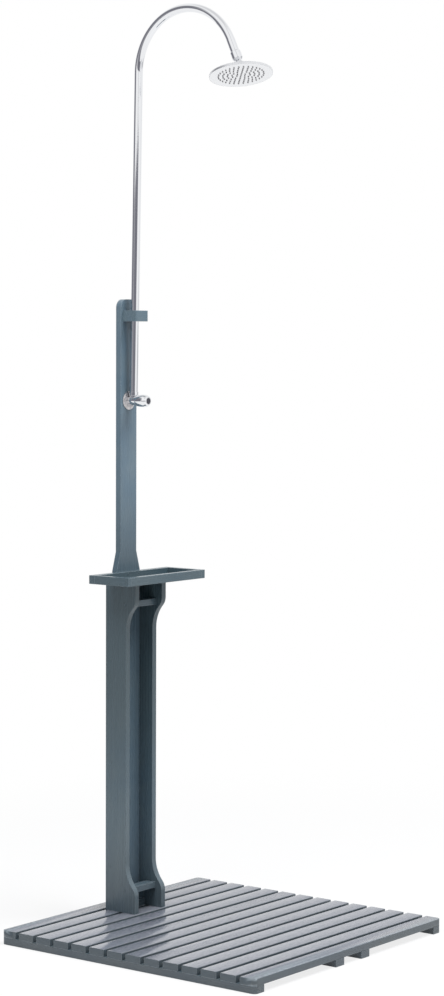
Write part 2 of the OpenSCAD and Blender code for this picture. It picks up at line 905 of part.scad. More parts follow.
module at_nozzles() {
    for (k = [0:nozzle_rings]) for (i = [0:ring_count(k) - 1])
        rotate([0, 0, nozzle_turn + i * 360 / ring_count(k)]) translate([k * nozzle_pitch, 0, 0]) children();
}

plate_top = face_z + face_t;

module face_plate() {
    color(chrome_colour) at_head() difference() {
        rod(head_d - 2 * shell_wall - 2 * fit, face_z, plate_top);
        at_nozzles() rod(nozzle_d + 2 * nozzle_clear, face_z - overrun, plate_top + overrun, $fn = 24);
    }
}

module nozzle_mat() {
    mat_d = 2 * nozzle_rings * nozzle_pitch + nozzle_d + 2 * mat_margin;
    color(mat_colour) at_head() difference() {
        union() {
            rod(mat_d, plate_top, plate_top + mat_t);
            at_nozzles() rod(nozzle_d, face_z, plate_top + mat_t / 2, $fn = 24);
            at_nozzles() cone(nozzle_tip_d, nozzle_d, face_z - nozzle_out, face_z, $fn = 24);
        }
        at_nozzles() rod(nozzle_bore_d, face_z - nozzle_out - overrun, plate_top + mat_t + overrun, $fn = 16);
    }
}

slat(0);  // slat_01
slat(1);  // slat_02
slat(2);  // slat_03
slat(3);  // slat_04
slat(4);  // slat_05
slat(5);  // slat_06
slat(6);  // slat_07
slat(7);  // slat_08
slat(8);  // slat_09
slat(9);  // slat_10
slat(10);  // slat_11
slat(11);  // slat_12
slat(12);  // slat_13
slat(13);  // slat_14
joist(0);  // joist_left
joist(1);  // joist_mid_left
joist(2);  // joist_mid_right
joist(3);  // joist_right
deck_screws();
side_board(-1);  // left_side_board
side_board(1);  // right_side_board
spine_board();
rail(upper_rail_z, upper_rail_screws);  // upper_rail
rail(lower_rail_z, lower_rail_screws);  // lower_rail
foot_block();
foot_bolts();
wood_screws();
tray_front_rim();
tray_back_rim();
tray_end(-1);  // tray_left_end
tray_end(1);  // tray_right_end
tray_floor();
clamp_block();
rosette();
valve_body();
back_washer();
back_nut();
headwork();
seat_seal();
fixed_disc();
moving_disc();
spindle();
spindle_seal();
knob();
knob_screw();
index_cap();
gooseneck();
riser_seals();
riser_collar();
end_nut();
end_washer();
ball_stud();
ball_seat();
ball_collar();
head_shell();
nozzle_mat();
face_plate();
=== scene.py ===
# %% [markdown]
# # An outdoor shower post
#
# A painted wooden post stands on a square slatted deck. It carries a small
# shelf tray, a tap and a chrome gooseneck with a round shower head. The solid
# model comes in as a fixed frame. This file gives its parts their finishes and
# makes the pieces that gain most from Blender: the slats, the screws, the pipe,
# the nozzles and the thread of the inlet.

# %% Load the frame
import json
import math

import bmesh
import bpy
from mathutils import Matrix, Vector

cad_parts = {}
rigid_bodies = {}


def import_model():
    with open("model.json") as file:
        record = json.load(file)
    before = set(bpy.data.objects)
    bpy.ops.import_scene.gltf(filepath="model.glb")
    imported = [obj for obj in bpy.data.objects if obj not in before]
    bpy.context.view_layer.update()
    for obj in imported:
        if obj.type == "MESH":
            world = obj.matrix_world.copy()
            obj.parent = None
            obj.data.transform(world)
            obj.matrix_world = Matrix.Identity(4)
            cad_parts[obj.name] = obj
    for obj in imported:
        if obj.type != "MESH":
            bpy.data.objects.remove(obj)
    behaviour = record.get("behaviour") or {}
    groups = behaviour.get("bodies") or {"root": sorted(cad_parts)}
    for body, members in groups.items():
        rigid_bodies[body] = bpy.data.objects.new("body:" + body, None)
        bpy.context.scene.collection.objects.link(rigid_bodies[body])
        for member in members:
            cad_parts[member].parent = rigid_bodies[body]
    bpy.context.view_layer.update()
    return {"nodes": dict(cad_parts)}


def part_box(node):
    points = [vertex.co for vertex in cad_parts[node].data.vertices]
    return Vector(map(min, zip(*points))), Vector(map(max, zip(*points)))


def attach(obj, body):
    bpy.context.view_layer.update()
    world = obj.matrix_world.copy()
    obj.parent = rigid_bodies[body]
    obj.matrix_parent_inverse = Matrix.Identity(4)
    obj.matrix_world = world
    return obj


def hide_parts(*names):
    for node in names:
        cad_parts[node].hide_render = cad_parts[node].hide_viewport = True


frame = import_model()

nodes = frame["nodes"]
scene = bpy.context.scene
MM = 0.001
# Nearer than this, two heights count as one and two points are merged
SAME_PLACE = 0.01 * MM
SAME_POINT = 0.001 * MM
print("nodes in the frame:", len(nodes))

# %% [markdown]
# ## Camera
#
# The photograph was taken from the front left, a little above the middle of
# the post. The corners of the tray and the deck fix the camera's place and
# lens. The camera's matrix is written from its heading, its small downward
# pitch and its slight roll, because three angles are easy to read and to mend.

# %% Camera
HEADING, PITCH, ROLL = (math.radians(a) for a in (-52.433, 3.661, 0.224))
CAMERA_PLACE = (-5.0903, -3.9039, 1.5363)
PHOTO_HEIGHT = 996
FOCAL_PIXELS = 2544.6


def camera_axes():
    """Right, up and back of the camera as unit vectors."""
    right = Vector((math.cos(HEADING), math.sin(HEADING), 0))
    back = Vector((math.sin(HEADING) * math.cos(PITCH),
                   -math.cos(HEADING) * math.cos(PITCH), math.sin(PITCH)))
    up = back.cross(right)
    turned_right = right * math.cos(ROLL) + up * math.sin(ROLL)
    turned_up = up * math.cos(ROLL) - right * math.sin(ROLL)
    return turned_right, turned_up, back


lens = bpy.data.cameras.new("photo_lens")
lens.sensor_fit = "VERTICAL"
lens.sensor_height = 36
lens.lens = FOCAL_PIXELS * lens.sensor_height / PHOTO_HEIGHT
camera = bpy.data.objects.new("photo_camera", lens)
camera.matrix_world = Matrix(camera_axes()).transposed().to_4x4()
camera.matrix_world.translation = CAMERA_PLACE
scene.collection.objects.link(camera)
scene.camera = camera
print("lens in millimetres:", round(lens.lens, 2))

# %% [markdown]
# ## Writing node trees as sums
#
# Materials and Geometry Nodes are trees of small boxes joined by links. Adding
# each box by hand makes a formula hard to read, so a socket is wrapped in a
# small class whose operators add the Math nodes. `1 - worn` then means what it
# says. Every other node comes from one method, which sets the node's own
# settings first and then the values or links of its sockets.

# %% Wires and graphs
class Wire:
    """An output socket. Arithmetic on it adds Math nodes to its tree."""

    def __init__(self, graph, socket):
        self.graph, self.socket = graph, socket

    def maths(self, operation, *values):
        return self.graph.add("ShaderNodeMath", {"operation": operation}, dict(enumerate(values)))

    def __add__(self, other):
        return self.maths("ADD", self, other)

    def __sub__(self, other):
        return self.maths("SUBTRACT", self, other)

    def __rsub__(self, other):
        return self.maths("SUBTRACT", other, self)

    def __mul__(self, other):
        return self.maths("MULTIPLY", self, other)

    def __truediv__(self, other):
        return self.maths("DIVIDE", self, other)

    def __rtruediv__(self, other):
        return self.maths("DIVIDE", other, self)

    __radd__ = __add__
    __rmul__ = __mul__

    def least(self, other):
        return self.maths("MINIMUM", self, other)

    def most(self, other):
        return self.maths("MAXIMUM", self, other)

    def sine(self):
        return self.maths("SINE", self)

    def cosine(self):
        return self.maths("COSINE", self)

    def fraction(self):
        return self.maths("FRACT", self)

    def root(self):
        return self.maths("SQRT", self)

    def ceiling(self):
        return self.maths("CEIL", self)

    def whole(self):
        return self.maths("FLOOR", self)


class Graph:
    """A node tree with one way to add a node and one to feed a node's sockets."""

    def __init__(self, tree):
        self.tree = tree

    def find(self, sockets, key):
        """A socket by its number, its identifier or its name."""
        if isinstance(key, int):
            return sockets[key]
        named = {s.name: s for s in reversed(sockets) if s.enabled}
        named.update({s.identifier: s for s in sockets})
        return named[key]

    def feed(self, node, sockets):
        for name, value in sockets.items():
            target = self.find(node.inputs, name)
            if isinstance(value, (Wire, list)):
                for wire in value if isinstance(value, list) else [value]:
                    self.tree.links.new(wire.socket, target)
            else:
                target.default_value = value

    def add(self, kind, settings=None, sockets=None, out=0):
        node = self.tree.nodes.new(kind)
        for name, value in (settings or {}).items():
            setattr(node, name, value)
        self.feed(node, sockets or {})
        return Wire(self, self.find(node.outputs, out))

    def mix(self, share, a, b):
        """Colour between a and b."""
        return self.add("ShaderNodeMix", {"data_type": "RGBA"},
                        {"Factor_Float": share, "A_Color": a, "B_Color": b}, "Result_Color")

    def fade(self, value, start, end, low=0.0, high=1.0):
        """From low to high, smoothly, while value goes from start to end."""
        return self.add("ShaderNodeMapRange", {"interpolation_type": "SMOOTHSTEP"}, {
            "Value": value, "From Min": start, "From Max": end, "To Min": low, "To Max": high})

    def vector(self, operation, *values):
        out = "Value" if operation in ("DOT_PRODUCT", "LENGTH") else "Vector"
        return self.add("ShaderNodeVectorMath", {"operation": operation},
                        dict(enumerate(values)), out)

    def parts(self, vector):
        """X, Y and Z of a vector."""
        node = self.add("ShaderNodeSeparateXYZ", {}, {"Vector": vector}).socket.node
        return [Wire(self, s) for s in node.outputs]

    def joined(self, x, y, z):
        return self.add("ShaderNodeCombineXYZ", {}, {"X": x, "Y": y, "Z": z})


def rgb(red, green, blue):
    """A screen colour from 0 to 255 as the linear colour that a shader takes."""
    def linear(c):
        return c / 12.92 if c <= 0.04045 else ((c + 0.055) / 1.055) ** 2.4
    return (*(linear(c / 255) for c in (red, green, blue)), 1)


print("screen grey 128 in linear light:", round(rgb(128, 128, 128)[0], 3))

# %% [markdown]
# ## Light
#
# The photograph has soft, even light with a white background. The fronts of
# the boards are a little brighter than their left sides, so a large lamp hangs
# high in front and a weaker one stands on the left. Neither shows in the chrome.
# The world gives the fill. Rays that the camera, the chrome or the glossy paint
# sends out see a white room instead. A few soft grey walls in that room, at the
# headings where a real studio has its gaps, draw the thin dark lines that the
# photograph shows along the pipe.

# %% World
WHITE = (1, 1, 1, 1)
WALL_GREY = (0.20, 0.20, 0.23, 1)
FILL_GREY = (0.34, 0.35, 0.36, 1)


def band(graph, value, middle, half_width, soft):
    """One where value is within half_width of middle, fading to zero outside."""
    away = graph.add("ShaderNodeMath", {"operation": "ABSOLUTE"}, {0: value - middle})
    return 1 - graph.fade(away, half_width, half_width + soft)


def wall(graph, value, opens, closes):
    """One from the end of opens to the start of closes, and zero outside both."""
    return graph.fade(value, *opens) * (1 - graph.fade(value, *closes))


def ray_kinds(graph):
    """The masks for rays from the camera, off gloss and through glass."""
    path = graph.add("ShaderNodeLightPath").socket.node
    return [Wire(graph, path.outputs[f"Is {kind} Ray"])
            for kind in ("Camera", "Glossy", "Transmission")]


world = bpy.data.worlds.new("studio")
scene.world = world
world.use_nodes = True
room = Graph(world.node_tree)
direction = room.add("ShaderNodeTexCoord", out="Generated")
east, north, height = room.parts(direction)
# Degrees to the left of the camera, as the object sees it. The walls below are
# given in these degrees, and height is the sine of the angle above the horizon.
camera_x, camera_y = camera.location.x, camera.location.y
ahead = east * camera_x + north * camera_y
aside = east * camera_y - north * camera_x
to_left = aside.maths("ARCTAN2", aside, ahead) * (180 / math.pi)
low_wall = wall(room, to_left, (-34, -26), (66, 74)) * (1 - room.fade(height, 0.044, 0.060))
far_wall = wall(room, to_left, (58, 78), (116, 130)) * (1 - room.fade(height, 0.48, 0.78))
gap = band(room, to_left, 47, 4, 5)
near_post = band(room, to_left, 0, 3, 5)
right_dark = room.fade(height, -0.03, 0.03, 0.30, 0.10)
right_dark = right_dark.most(room.fade(height, -0.026, -0.016, 0.55, 0.0))
right_wall = band(room, to_left, -102, 16, 12) * right_dark
overhead = room.fade(height, 0.80, 0.96)
dark = (low_wall * (1 - gap * 0.3)).most(far_wall).most(near_post * 0.45)
dark = dark.most(right_wall).most(overhead * 0.30)
mirror_light = room.mix(dark, WHITE, WALL_GREY)
seen, glossy, passed = ray_kinds(room)
colour = room.mix(glossy.most(passed), FILL_GREY, mirror_light)
colour = room.mix(seen, colour, WHITE)
room.feed(world.node_tree.nodes["Background"], {"Color": colour, "Strength": 1.0})
print("world nodes:", len(world.node_tree.nodes))

# %% Lamps
def soft_lamp(name, place, target, width, watts):
    """A square area lamp that faces a point."""
    data = bpy.data.lights.new(name, "AREA")
    data.size = width
    data.energy = watts
    lamp = bpy.data.objects.new(name, data)
    aim = (Vector(target) - Vector(place)).to_track_quat("-Z", "Y")
    lamp.matrix_world = aim.to_matrix().to_4x4()
    lamp.matrix_world.translation = place
    lamp.visible_glossy = False
    scene.collection.objects.link(lamp)
    print(name, "watts:", watts, "width:", width)


scene.view_settings.view_transform = "Standard"
soft_lamp("key_lamp", (0.5, -1.9, 4.9), (0, 0.1, 0.9), 2.6, 230)
soft_lamp("side_lamp", (-2.3, -0.2, 3.6), (0, 0.3, 1.4), 1.6, 62)

# %% [markdown]
# ## Floor
#
# The object stands on a plain white floor that runs into the background
# without an edge. Most of what the camera sees of it is plain white emission,
# mixed with a share of white matt paint, so that the object's soft shadow
# stays. Far from the object the share falls to nothing, which hides the rim.

# %% Floor
def floor_finish():
    material = bpy.data.materials.new("floor_white")
    material.use_nodes = True
    tree = material.node_tree
    graph = Graph(tree)
    tree.nodes.remove(tree.nodes["Principled BSDF"])
    away = graph.vector("LENGTH", graph.add("ShaderNodeTexCoord", out="Object"))
    seen, glossy, passed = ray_kinds(graph)
    glow = graph.add("ShaderNodeEmission", {}, {"Color": WHITE, "Strength": 1.0})
    matt = graph.add("ShaderNodeBsdfDiffuse", {}, {"Color": (0.86, 0.86, 0.87, 1)})
    share = seen.most(glossy).most(passed) * graph.fade(away, 0.9, 2.6, 0.80, 1.0)
    mixed = graph.add("ShaderNodeMixShader", {}, {0: share, 1: matt, 2: glow})
    graph.feed(tree.nodes["Material Output"], {"Surface": mixed})
    return material


def plain_mesh(name, points, faces=()):
    mesh = bpy.data.meshes.new(name)
    mesh.from_pydata(points, [], list(faces))
    return mesh


FLOOR_REACH = 9.0
FLOOR_HEIGHT = -0.0004
corner_sides = ((-1, -1), (1, -1), (1, 1), (-1, 1))
floor_corners = [(x * FLOOR_REACH, y * FLOOR_REACH, FLOOR_HEIGHT) for x, y in corner_sides]
floor = bpy.data.objects.new("floor", plain_mesh("floor", floor_corners, [(0, 1, 2, 3)]))
floor.data.materials.append(floor_finish())
scene.collection.objects.link(floor)
print("floor:", 2 * FLOOR_REACH, "m square")

# %% [markdown]
# ## Painted wood
#
# All the wood is softwood under one satin blue-grey paint. Up close, paint on
# wood isn't flat: the growth rings stand up as long fine ridges, the paint
# lies thinner on the corners and wears pale there, with a painted highlight on
# the same corners, and weather leaves slow changes of tone. Below the tray the
# post is painted darker, as painted shade from the tray. Near the ground it is
# dusty, and the faces of the deck and joists that don't look up are darker,
# partly from splashed dirt and partly as painted shade in the gaps. The tops of
# the slats are flecked and lighter, partly bleached and partly a painted sheen.
# The plank's paint is paler than the rest, as painted light. The rings are noise
# that is drawn out along the board, so one function makes a finish for each
# direction in which boards run, and its options set the worn corners and their
# painted highlight, the painted light, the painted shade under the tray, and
# the dirt and painted shade of that group of boards.
# A Bevel node rounds the corners in the shading only, which leaves the boards'
# meshes as they are.

# %% Helpers for finishes
def new_finish(name, **constants):
    """A material, its graph and its Principled shader with fixed values set."""
    material = bpy.data.materials.new(name)
    material.use_nodes = True
    shader = material.node_tree.nodes["Principled BSDF"]
    for socket, value in constants.items():
        shader.inputs[socket.replace("_", " ")].default_value = value
    return material, Graph(material.node_tree), shader


def stretched_noise(graph, place, size, detail=3.0, roughness=0.55, distortion=0.0):
    """Noise whose spots have the given size, in metres, along X, Y and Z."""
    scaled = graph.add("ShaderNodeMapping", {}, {
        "Vector": place, "Scale": tuple(1 / s for s in size)})
    return graph.add("ShaderNodeTexNoise", {}, {
        "Vector": scaled, "Scale": 1.0, "Detail": detail, "Roughness": roughness,
        "Distortion": distortion})


def even_noise(graph, place, size, detail=3.0, roughness=0.6):
    """Noise whose spots are as long as they are wide."""
    return stretched_noise(graph, place, (size, size, size), detail, roughness)


def along_axis(axis, length, across):
    """Spot size of a grain that runs along an axis."""
    return tuple(length if a == axis else across for a in "XYZ")


def rounded_normal(graph, radius, samples=6):
    """The surface's normal with its corners rounded off."""
    return graph.add("ShaderNodeBevel", {"samples": samples}, {"Radius": radius})


def bumped(graph, rounded, height, strength, distance):
    """A rounded normal that also leans with a relief."""
    return graph.add("ShaderNodeBump", {}, {
        "Strength": strength, "Distance": distance, "Height": height, "Normal": rounded})


def corner_mask(graph, rounded):
    """One on sharp outer and inner corners, from how far a rounded normal leans."""
    flat = graph.add("ShaderNodeNewGeometry", out="True Normal")
    lean = 1 - graph.vector("DOT_PRODUCT", rounded, flat)
    return graph.fade(lean, 0.01, 0.22)


# %% Paint
PAINT = rgb(84, 105, 119)
PAINT_DARK = rgb(70, 86, 95)
PAINT_WORN_AND_HIGHLIGHT = rgb(158, 169, 176)
PAINT_FADED = rgb(99, 115, 123)
PAINT_BLEACHED_AND_SHEEN = rgb(168, 162, 175)
PAINT_TRAY_SHADE = rgb(64, 80, 87)
PAINT_DUSTY = rgb(84, 91, 95)
PAINT_LIT = rgb(128, 150, 172)
GRIME_AND_SHADE = rgb(58, 53, 54)
DIRT_SPECK = rgb(84, 74, 62)
PAINT_EDGE = 0.0018


def painted_wood(name, axis, board_attribute=None, wear_and_highlight=0.8, painted_light=0.0, tray_shade=0.68,
                 grime_and_shade=0.0, dullness=0.20):
    """Satin paint over softwood whose grain runs along an axis.

    wear_and_highlight is the strength of the pale corners, worn paint with a
    painted highlight, painted_light the share of a paler tone painted in as
    extra light, tray_shade the share of painted shade below the tray and
    grime_and_shade the share of dirt and painted shade on faces that don't
    look up. dullness is the least roughness.
    """
    material, graph, shader = new_finish(name, IOR=1.5)
    place = graph.add("ShaderNodeTexCoord", out="Object")
    if board_attribute:
        board = graph.add("ShaderNodeAttribute", {"attribute_name": board_attribute}, out="Fac")
        place = graph.vector("ADD", place, graph.joined(board * 3.1, board * 1.7, board * 2.3))
    rings = stretched_noise(graph, place, along_axis(axis, 0.42, 0.0075), 2.0, 0.5, 0.25)
    fibres = stretched_noise(graph, place, along_axis(axis, 0.060, 0.0011), 3.0, 0.6)
    weather = stretched_noise(graph, place, (0.16, 0.16, 0.22), 4.0, 0.6)
    chips = even_noise(graph, place, 0.012, 3.0, 0.65)
    rounded = rounded_normal(graph, PAINT_EDGE)
    corners = corner_mask(graph, rounded)
    ring_mask = graph.fade(rings, 0.44, 0.60)
    # Pale corners: partly worn paint, partly a painted highlight where light catches the edges
    worn_and_highlight = corners * graph.fade(chips, 0.40, 0.66, 0.45, 1.0)
    tone = graph.mix(graph.fade(weather, 0.35, 0.68), PAINT, PAINT_FADED)
    tone = graph.mix(ring_mask * 0.10, tone, PAINT_DARK)
    tone = graph.mix(graph.fade(fibres, 0.56, 0.72) * 0.07, tone, PAINT_DARK)
    # The post stands at a level of 0.036 m, and the tray's rim ends at 0.922 m
    level = graph.parts(graph.add("ShaderNodeTexCoord", out="Object"))[2]
    # Painted shade: the post is painted darker below the tray, where the tray's shade falls
    tray_shade_mask = graph.fade(level, 0.12, 0.68) * graph.fade(level, 0.93, 1.20, 1.0, 0.0)
    tone = graph.mix(tray_shade_mask * tray_shade, tone, PAINT_TRAY_SHADE)
    tone = graph.mix(graph.fade(level, 0.04, 0.30, 0.45, 0.0), tone, PAINT_DUSTY)
    # Painted light: a paler, bluer tone where a board stands in more light
    tone = graph.mix(painted_light, tone, PAINT_LIT)
    facing = graph.parts(graph.add("ShaderNodeNewGeometry", out="True Normal"))[2]
    upward = graph.fade(facing, 0.5, 0.95)
    # Faces that don't look up turn darker: partly dirt, partly painted shade in the gaps and under
    # the deck
    tone = graph.mix((1 - upward) * grime_and_shade, tone, GRIME_AND_SHADE)
    if board_attribute:
        tone = graph.mix((board * 9.7).fraction() * 0.3, tone, PAINT_DARK)
        # The tops of the slats are lighter in flecks: partly bleaching, partly a painted sheen
        flecks = stretched_noise(graph, place, (0.016, 0.0022, 0.01), 3.0, 0.7)
        bleach_and_sheen = upward * graph.fade(flecks, 0.30, 0.72, 0.12, 0.52)
        tone = graph.mix(bleach_and_sheen, tone, PAINT_BLEACHED_AND_SHEEN)
        specks = stretched_noise(graph, place, (0.021, 0.009, 0.02), 2.0, 0.5)
        tone = graph.mix(graph.fade(specks, 0.70, 0.76) * 0.6, tone, DIRT_SPECK)
    tone = graph.mix(worn_and_highlight * wear_and_highlight, tone, PAINT_WORN_AND_HIGHLIGHT)
    gloss = dullness + ring_mask * 0.05 + weather * 0.10 + worn_and_highlight * 0.2
    relief = ring_mask * 0.6 + fibres * 0.5 + chips * 0.2
    bump = bumped(graph, rounded, relief, 0.25, 0.0004)
    graph.feed(shader, {"Base Color": tone, "Roughness": gloss, "Normal": bump})
    return material


paint_along = {axis: painted_wood("paint_grain_" + axis.lower(), axis) for axis in "XY"}
deck_paint = painted_wood("deck_paint", "X", "board", grime_and_shade=0.35, dullness=0.10)
joist_paint = painted_wood("joist_paint", "Y", grime_and_shade=0.35)
# The plank gets painted light, a paler tone for the brighter light on it
plank_paint = painted_wood("plank_paint", "Z", painted_light=0.12)
side_board_paint = painted_wood("side_board_paint", "Z", wear_and_highlight=0.2, tray_shade=0.92)
filled_head_paint = painted_wood("filled_head_paint", "Z", wear_and_highlight=0.0)
print("materials so far:", len(bpy.data.materials))

# %% Paint on the boards
def dress(material, *names):
    """The material goes into every slot of these CAD nodes."""
    for name in names:
        for place in nodes[name].material_slots:
            place.material = material
    print(material.name, "on", len(names), "nodes")


dress(side_board_paint, "left_side_board", "right_side_board")
dress(plank_paint, "spine_board")
dress(paint_along["X"], "upper_rail", "lower_rail", "foot_block", "tray_front_rim",
      "tray_back_rim", "tray_floor", "clamp_block")
dress(paint_along["Y"], "tray_left_end", "tray_right_end")
dress(joist_paint, "joist_left", "joist_mid_left", "joist_mid_right", "joist_right")

# %% [markdown]
# ## Metal, rubber and ceramic
#
# Chrome plate is a mirror, so nearly all its looks come from the room. What
# tells it from a perfect mirror is a film of dried water: faint spots that
# are a little duller than the rest. The head's plate is satin and its shell is
# brushed, so the room blurs in them. Brass and steel show the marks of their
# making, fine rings from the lathe. The thread has a brass of its own, because a
# wide Bevel would wipe out its ridges. The tap's rosette is pressed from plain
# stainless steel, which is greyer. Rubber and silicone are soft and dull.

# %% Metal finishes
def chrome_plate(name, roughness=0.045, spots=0.10):
    """A mirror under a thin film, with spots of dried water."""
    material, graph, shader = new_finish(name, Metallic=1.0)
    place = graph.add("ShaderNodeTexCoord", out="Object")
    film = stretched_noise(graph, place, (0.05, 0.05, 0.09), 4.0, 0.6)
    drops = graph.add("ShaderNodeTexVoronoi", {}, {"Vector": place, "Scale": 170.0}, "Distance")
    stain = graph.fade(film, 0.45, 0.75) * graph.fade(drops, 0.10, 0.32, 1.0, 0.0)
    tone = graph.mix(stain * 0.6, (0.84, 0.85, 0.87, 1), (0.70, 0.71, 0.72, 1))
    wave = bumped(graph, rounded_normal(graph, 0.0005), film, 0.06, 0.0003)
    graph.feed(shader, {"Base Color": tone, "Roughness": roughness + stain * spots, "Normal": wave})
    return material


LINE_WIDTH = 0.6 * MM


def turned_metal(name, tone, dull, roughness, edge=0.0004):
    """Metal off the lathe: fine lines, and tarnish in slow patches."""
    material, graph, shader = new_finish(name, Metallic=1.0)
    place = graph.add("ShaderNodeTexCoord", out="Object")
    tarnish = even_noise(graph, place, 0.012, 4.0)
    lines = stretched_noise(graph, place, (0.02, LINE_WIDTH, 0.02), 2.0, 0.5)
    cut = bumped(graph, rounded_normal(graph, edge, 4), lines, 0.25, 0.0001)
    graph.feed(shader, {
        "Base Color": graph.mix(graph.fade(tarnish, 0.35, 0.7), tone, dull),
        "Roughness": roughness + tarnish * 0.18 + lines * 0.06, "Normal": cut})
    return material


chrome = chrome_plate("chrome")
satin_chrome = chrome_plate("satin_chrome", 0.20, 0.08)
brushed_chrome = chrome_plate("brushed_chrome", 0.42, 0.08)
brass = turned_metal("brass", (0.72, 0.56, 0.30, 1), (0.48, 0.36, 0.20, 1), 0.22)
thread_brass = turned_metal(
    "thread_brass", (0.66, 0.50, 0.26, 1), (0.42, 0.31, 0.17, 1), 0.30, edge=0.00005)
steel = turned_metal("steel", (0.62, 0.63, 0.65, 1), (0.42, 0.43, 0.45, 1), 0.26)
pressed_steel = turned_metal(
    "pressed_steel", (0.64, 0.62, 0.63, 1), (0.40, 0.39, 0.40, 1), 0.12, edge=0.0005)
print("materials so far:", len(bpy.data.materials))

# %% Moulded finishes
def moulded(name, tone, shade, roughness, grain, relief=0.15):
    """Rubber, plastic or glazed ceramic: one colour, a fine skin and faint marks."""
    material, graph, shader = new_finish(name)
    place = graph.add("ShaderNodeTexCoord", out="Object")
    skin = even_noise(graph, place, grain)
    marks = even_noise(graph, place, 0.010)
    bump = bumped(graph, rounded_normal(graph, 0.0003, 4), skin, relief, 0.0001)
    graph.feed(shader, {
        "Base Color": graph.mix(graph.fade(marks, 0.35, 0.7), tone, shade),
        "Roughness": roughness + skin * 0.10 + marks * 0.06, "Normal": bump})
    return material


rubber = moulded("rubber", rgb(34, 34, 36), rgb(46, 46, 48), 0.55, 0.0006, 0.3)
silicone = moulded("silicone", rgb(188, 186, 187), rgb(172, 171, 172), 0.38, 0.0004)
ceramic = moulded("ceramic", rgb(236, 233, 224), rgb(224, 221, 212), 0.10, 0.0010, 0.05)
seat_plastic = moulded("seat_plastic", rgb(214, 214, 208), rgb(198, 198, 192), 0.32, 0.0005)
cap_plastic = moulded("cap_plastic", rgb(52, 52, 62), rgb(40, 40, 48), 0.24, 0.0007)

dress(pressed_steel, "rosette")
dress(chrome, "valve_body", "riser_collar", "end_nut", "ball_stud", "ball_collar", "knob")
dress(brushed_chrome, "head_shell")
dress(satin_chrome, "face_plate")
dress(brass, "back_nut", "headwork", "spindle")
dress(steel, "knob_screw")
dress(rubber, "back_washer", "seat_seal", "spindle_seal", "riser_seals", "end_washer")
dress(seat_plastic, "ball_seat")
dress(ceramic, "fixed_disc", "moving_disc")
dress(cap_plastic, "index_cap")
print("materials in the end:", len(bpy.data.materials))

# %% [markdown]
# ## Growing pieces with Geometry Nodes
#
# Slats, screws, nozzles and a bent pipe are one shape repeated, or one section
# led along a path. Geometry Nodes say exactly that, and a tree with named
# inputs can be run again with other sizes. The result of each run is kept as a
# plain mesh.

# %% Running a tree
def new_tree(name, **inputs):
    """A geometry tree with named inputs. Returns its graph and the inputs as wires."""
    tree = bpy.data.node_groups.new(name, "GeometryNodeTree")
    tree.interface.new_socket("Geometry", in_out="INPUT", socket_type="NodeSocketGeometry")
    for title, kind in inputs.items():
        tree.interface.new_socket(title.replace("_", " "), in_out="INPUT",
                                  socket_type="NodeSocket" + kind)
    tree.interface.new_socket("Geometry", in_out="OUTPUT", socket_type="NodeSocketGeometry")
    graph = Graph(tree)
    entry = tree.nodes.new("NodeGroupInput")
    return graph, {s.name: Wire(graph, s) for s in entry.outputs if s.name}


def close_tree(graph, geometry, material):
    """Ends a tree in Realize Instances and Set Material."""
    real = graph.add("GeometryNodeRealizeInstances", {}, {"Geometry": geometry})
    dressed = graph.add("GeometryNodeSetMaterial", {}, {"Geometry": real, "Material": material})
    exit_node = graph.tree.nodes.new("NodeGroupOutput")
    graph.feed(exit_node, {"Geometry": dressed})
    return graph.tree


def grow(name, tree, values, start=None):
    """Runs a tree on a start mesh and keeps the result as a plain mesh."""
    piece = bpy.data.objects.new(name, start or bpy.data.meshes.new(name + "_start"))
    scene.collection.objects.link(piece)
    growth = piece.modifiers.new("growth", "NODES")
    growth.node_group = tree
    for item in tree.interface.items_tree:
        if item.in_out == "INPUT" and item.name in values:
            growth[item.identifier] = values[item.name]
    depsgraph = bpy.context.evaluated_depsgraph_get()
    grown = bpy.data.meshes.new_from_object(
        piece.evaluated_get(depsgraph), preserve_all_data_layers=True, depsgraph=depsgraph)
    piece.modifiers.remove(growth)
    piece.data = grown
    print(name, "faces:", len(grown.polygons), "size:", [round(d, 4) for d in piece.dimensions])
    return piece


# %% Small steps that the trees share
def line_between(graph, start, end):
    """A straight curve from one point to another."""
    return graph.add("GeometryNodeCurvePrimitiveLine", {}, {"Start": start, "End": end}, "Curve")


def oblong(graph, width, height):
    """A rectangle round the origin."""
    return graph.add("GeometryNodeCurvePrimitiveQuadrilateral", {}, {
        "Width": width, "Height": height}, "Curve")


def four_points(graph, *points):
    """A closed curve through four points of the section plane."""
    return graph.add("GeometryNodeCurvePrimitiveQuadrilateral", {"mode": "POINTS"}, {
        f"Point {i}": graph.joined(x, y, 0) for i, (x, y) in enumerate(points, 1)}, "Curve")


def ring(graph, sides, radius):
    """A circle as a curve."""
    return graph.add("GeometryNodeCurvePrimitiveCircle", {}, {
        "Resolution": sides, "Radius": radius}, "Curve")


def eased(graph, outline, radius, count, limit=False):
    """A curve with its corners rounded."""
    return graph.add("GeometryNodeFilletCurve", {"mode": "POLY"}, {
        "Curve": outline, "Radius": radius, "Count": count, "Limit Radius": limit})


def swept(graph, path, section, **sockets):
    """A section led along a path, with its ends closed."""
    return graph.add("GeometryNodeCurveToMesh", {}, {
        "Curve": path, "Profile Curve": section, "Fill Caps": True, **sockets})


def moved(graph, shape, x, y, z):
    """A shape shifted as a whole."""
    return graph.add("GeometryNodeTransform", {}, {
        "Geometry": shape, "Translation": graph.joined(x, y, z)})


def in_short(points):
    """Points rounded to a tenth of a millimetre, for printing."""
    return [[round(c, 4) for c in point] for point in points]


# %% [markdown]
# ## Deck slats
#
# Fourteen equal slats with their long edges eased. One eased bar is placed at
# every point of a line whose step is a slat and a gap. The deck's four outer
# corners are rounded, so the whole row is cut with a rounded square. Each slat
# keeps its number as an attribute, and the paint uses that number to move the
# grain and the tone, because no two boards come from the same place in a tree.

# %% Slat tree
# How far apart neighbouring boards take their grain and tone
BOARD_SPREAD = 0.37


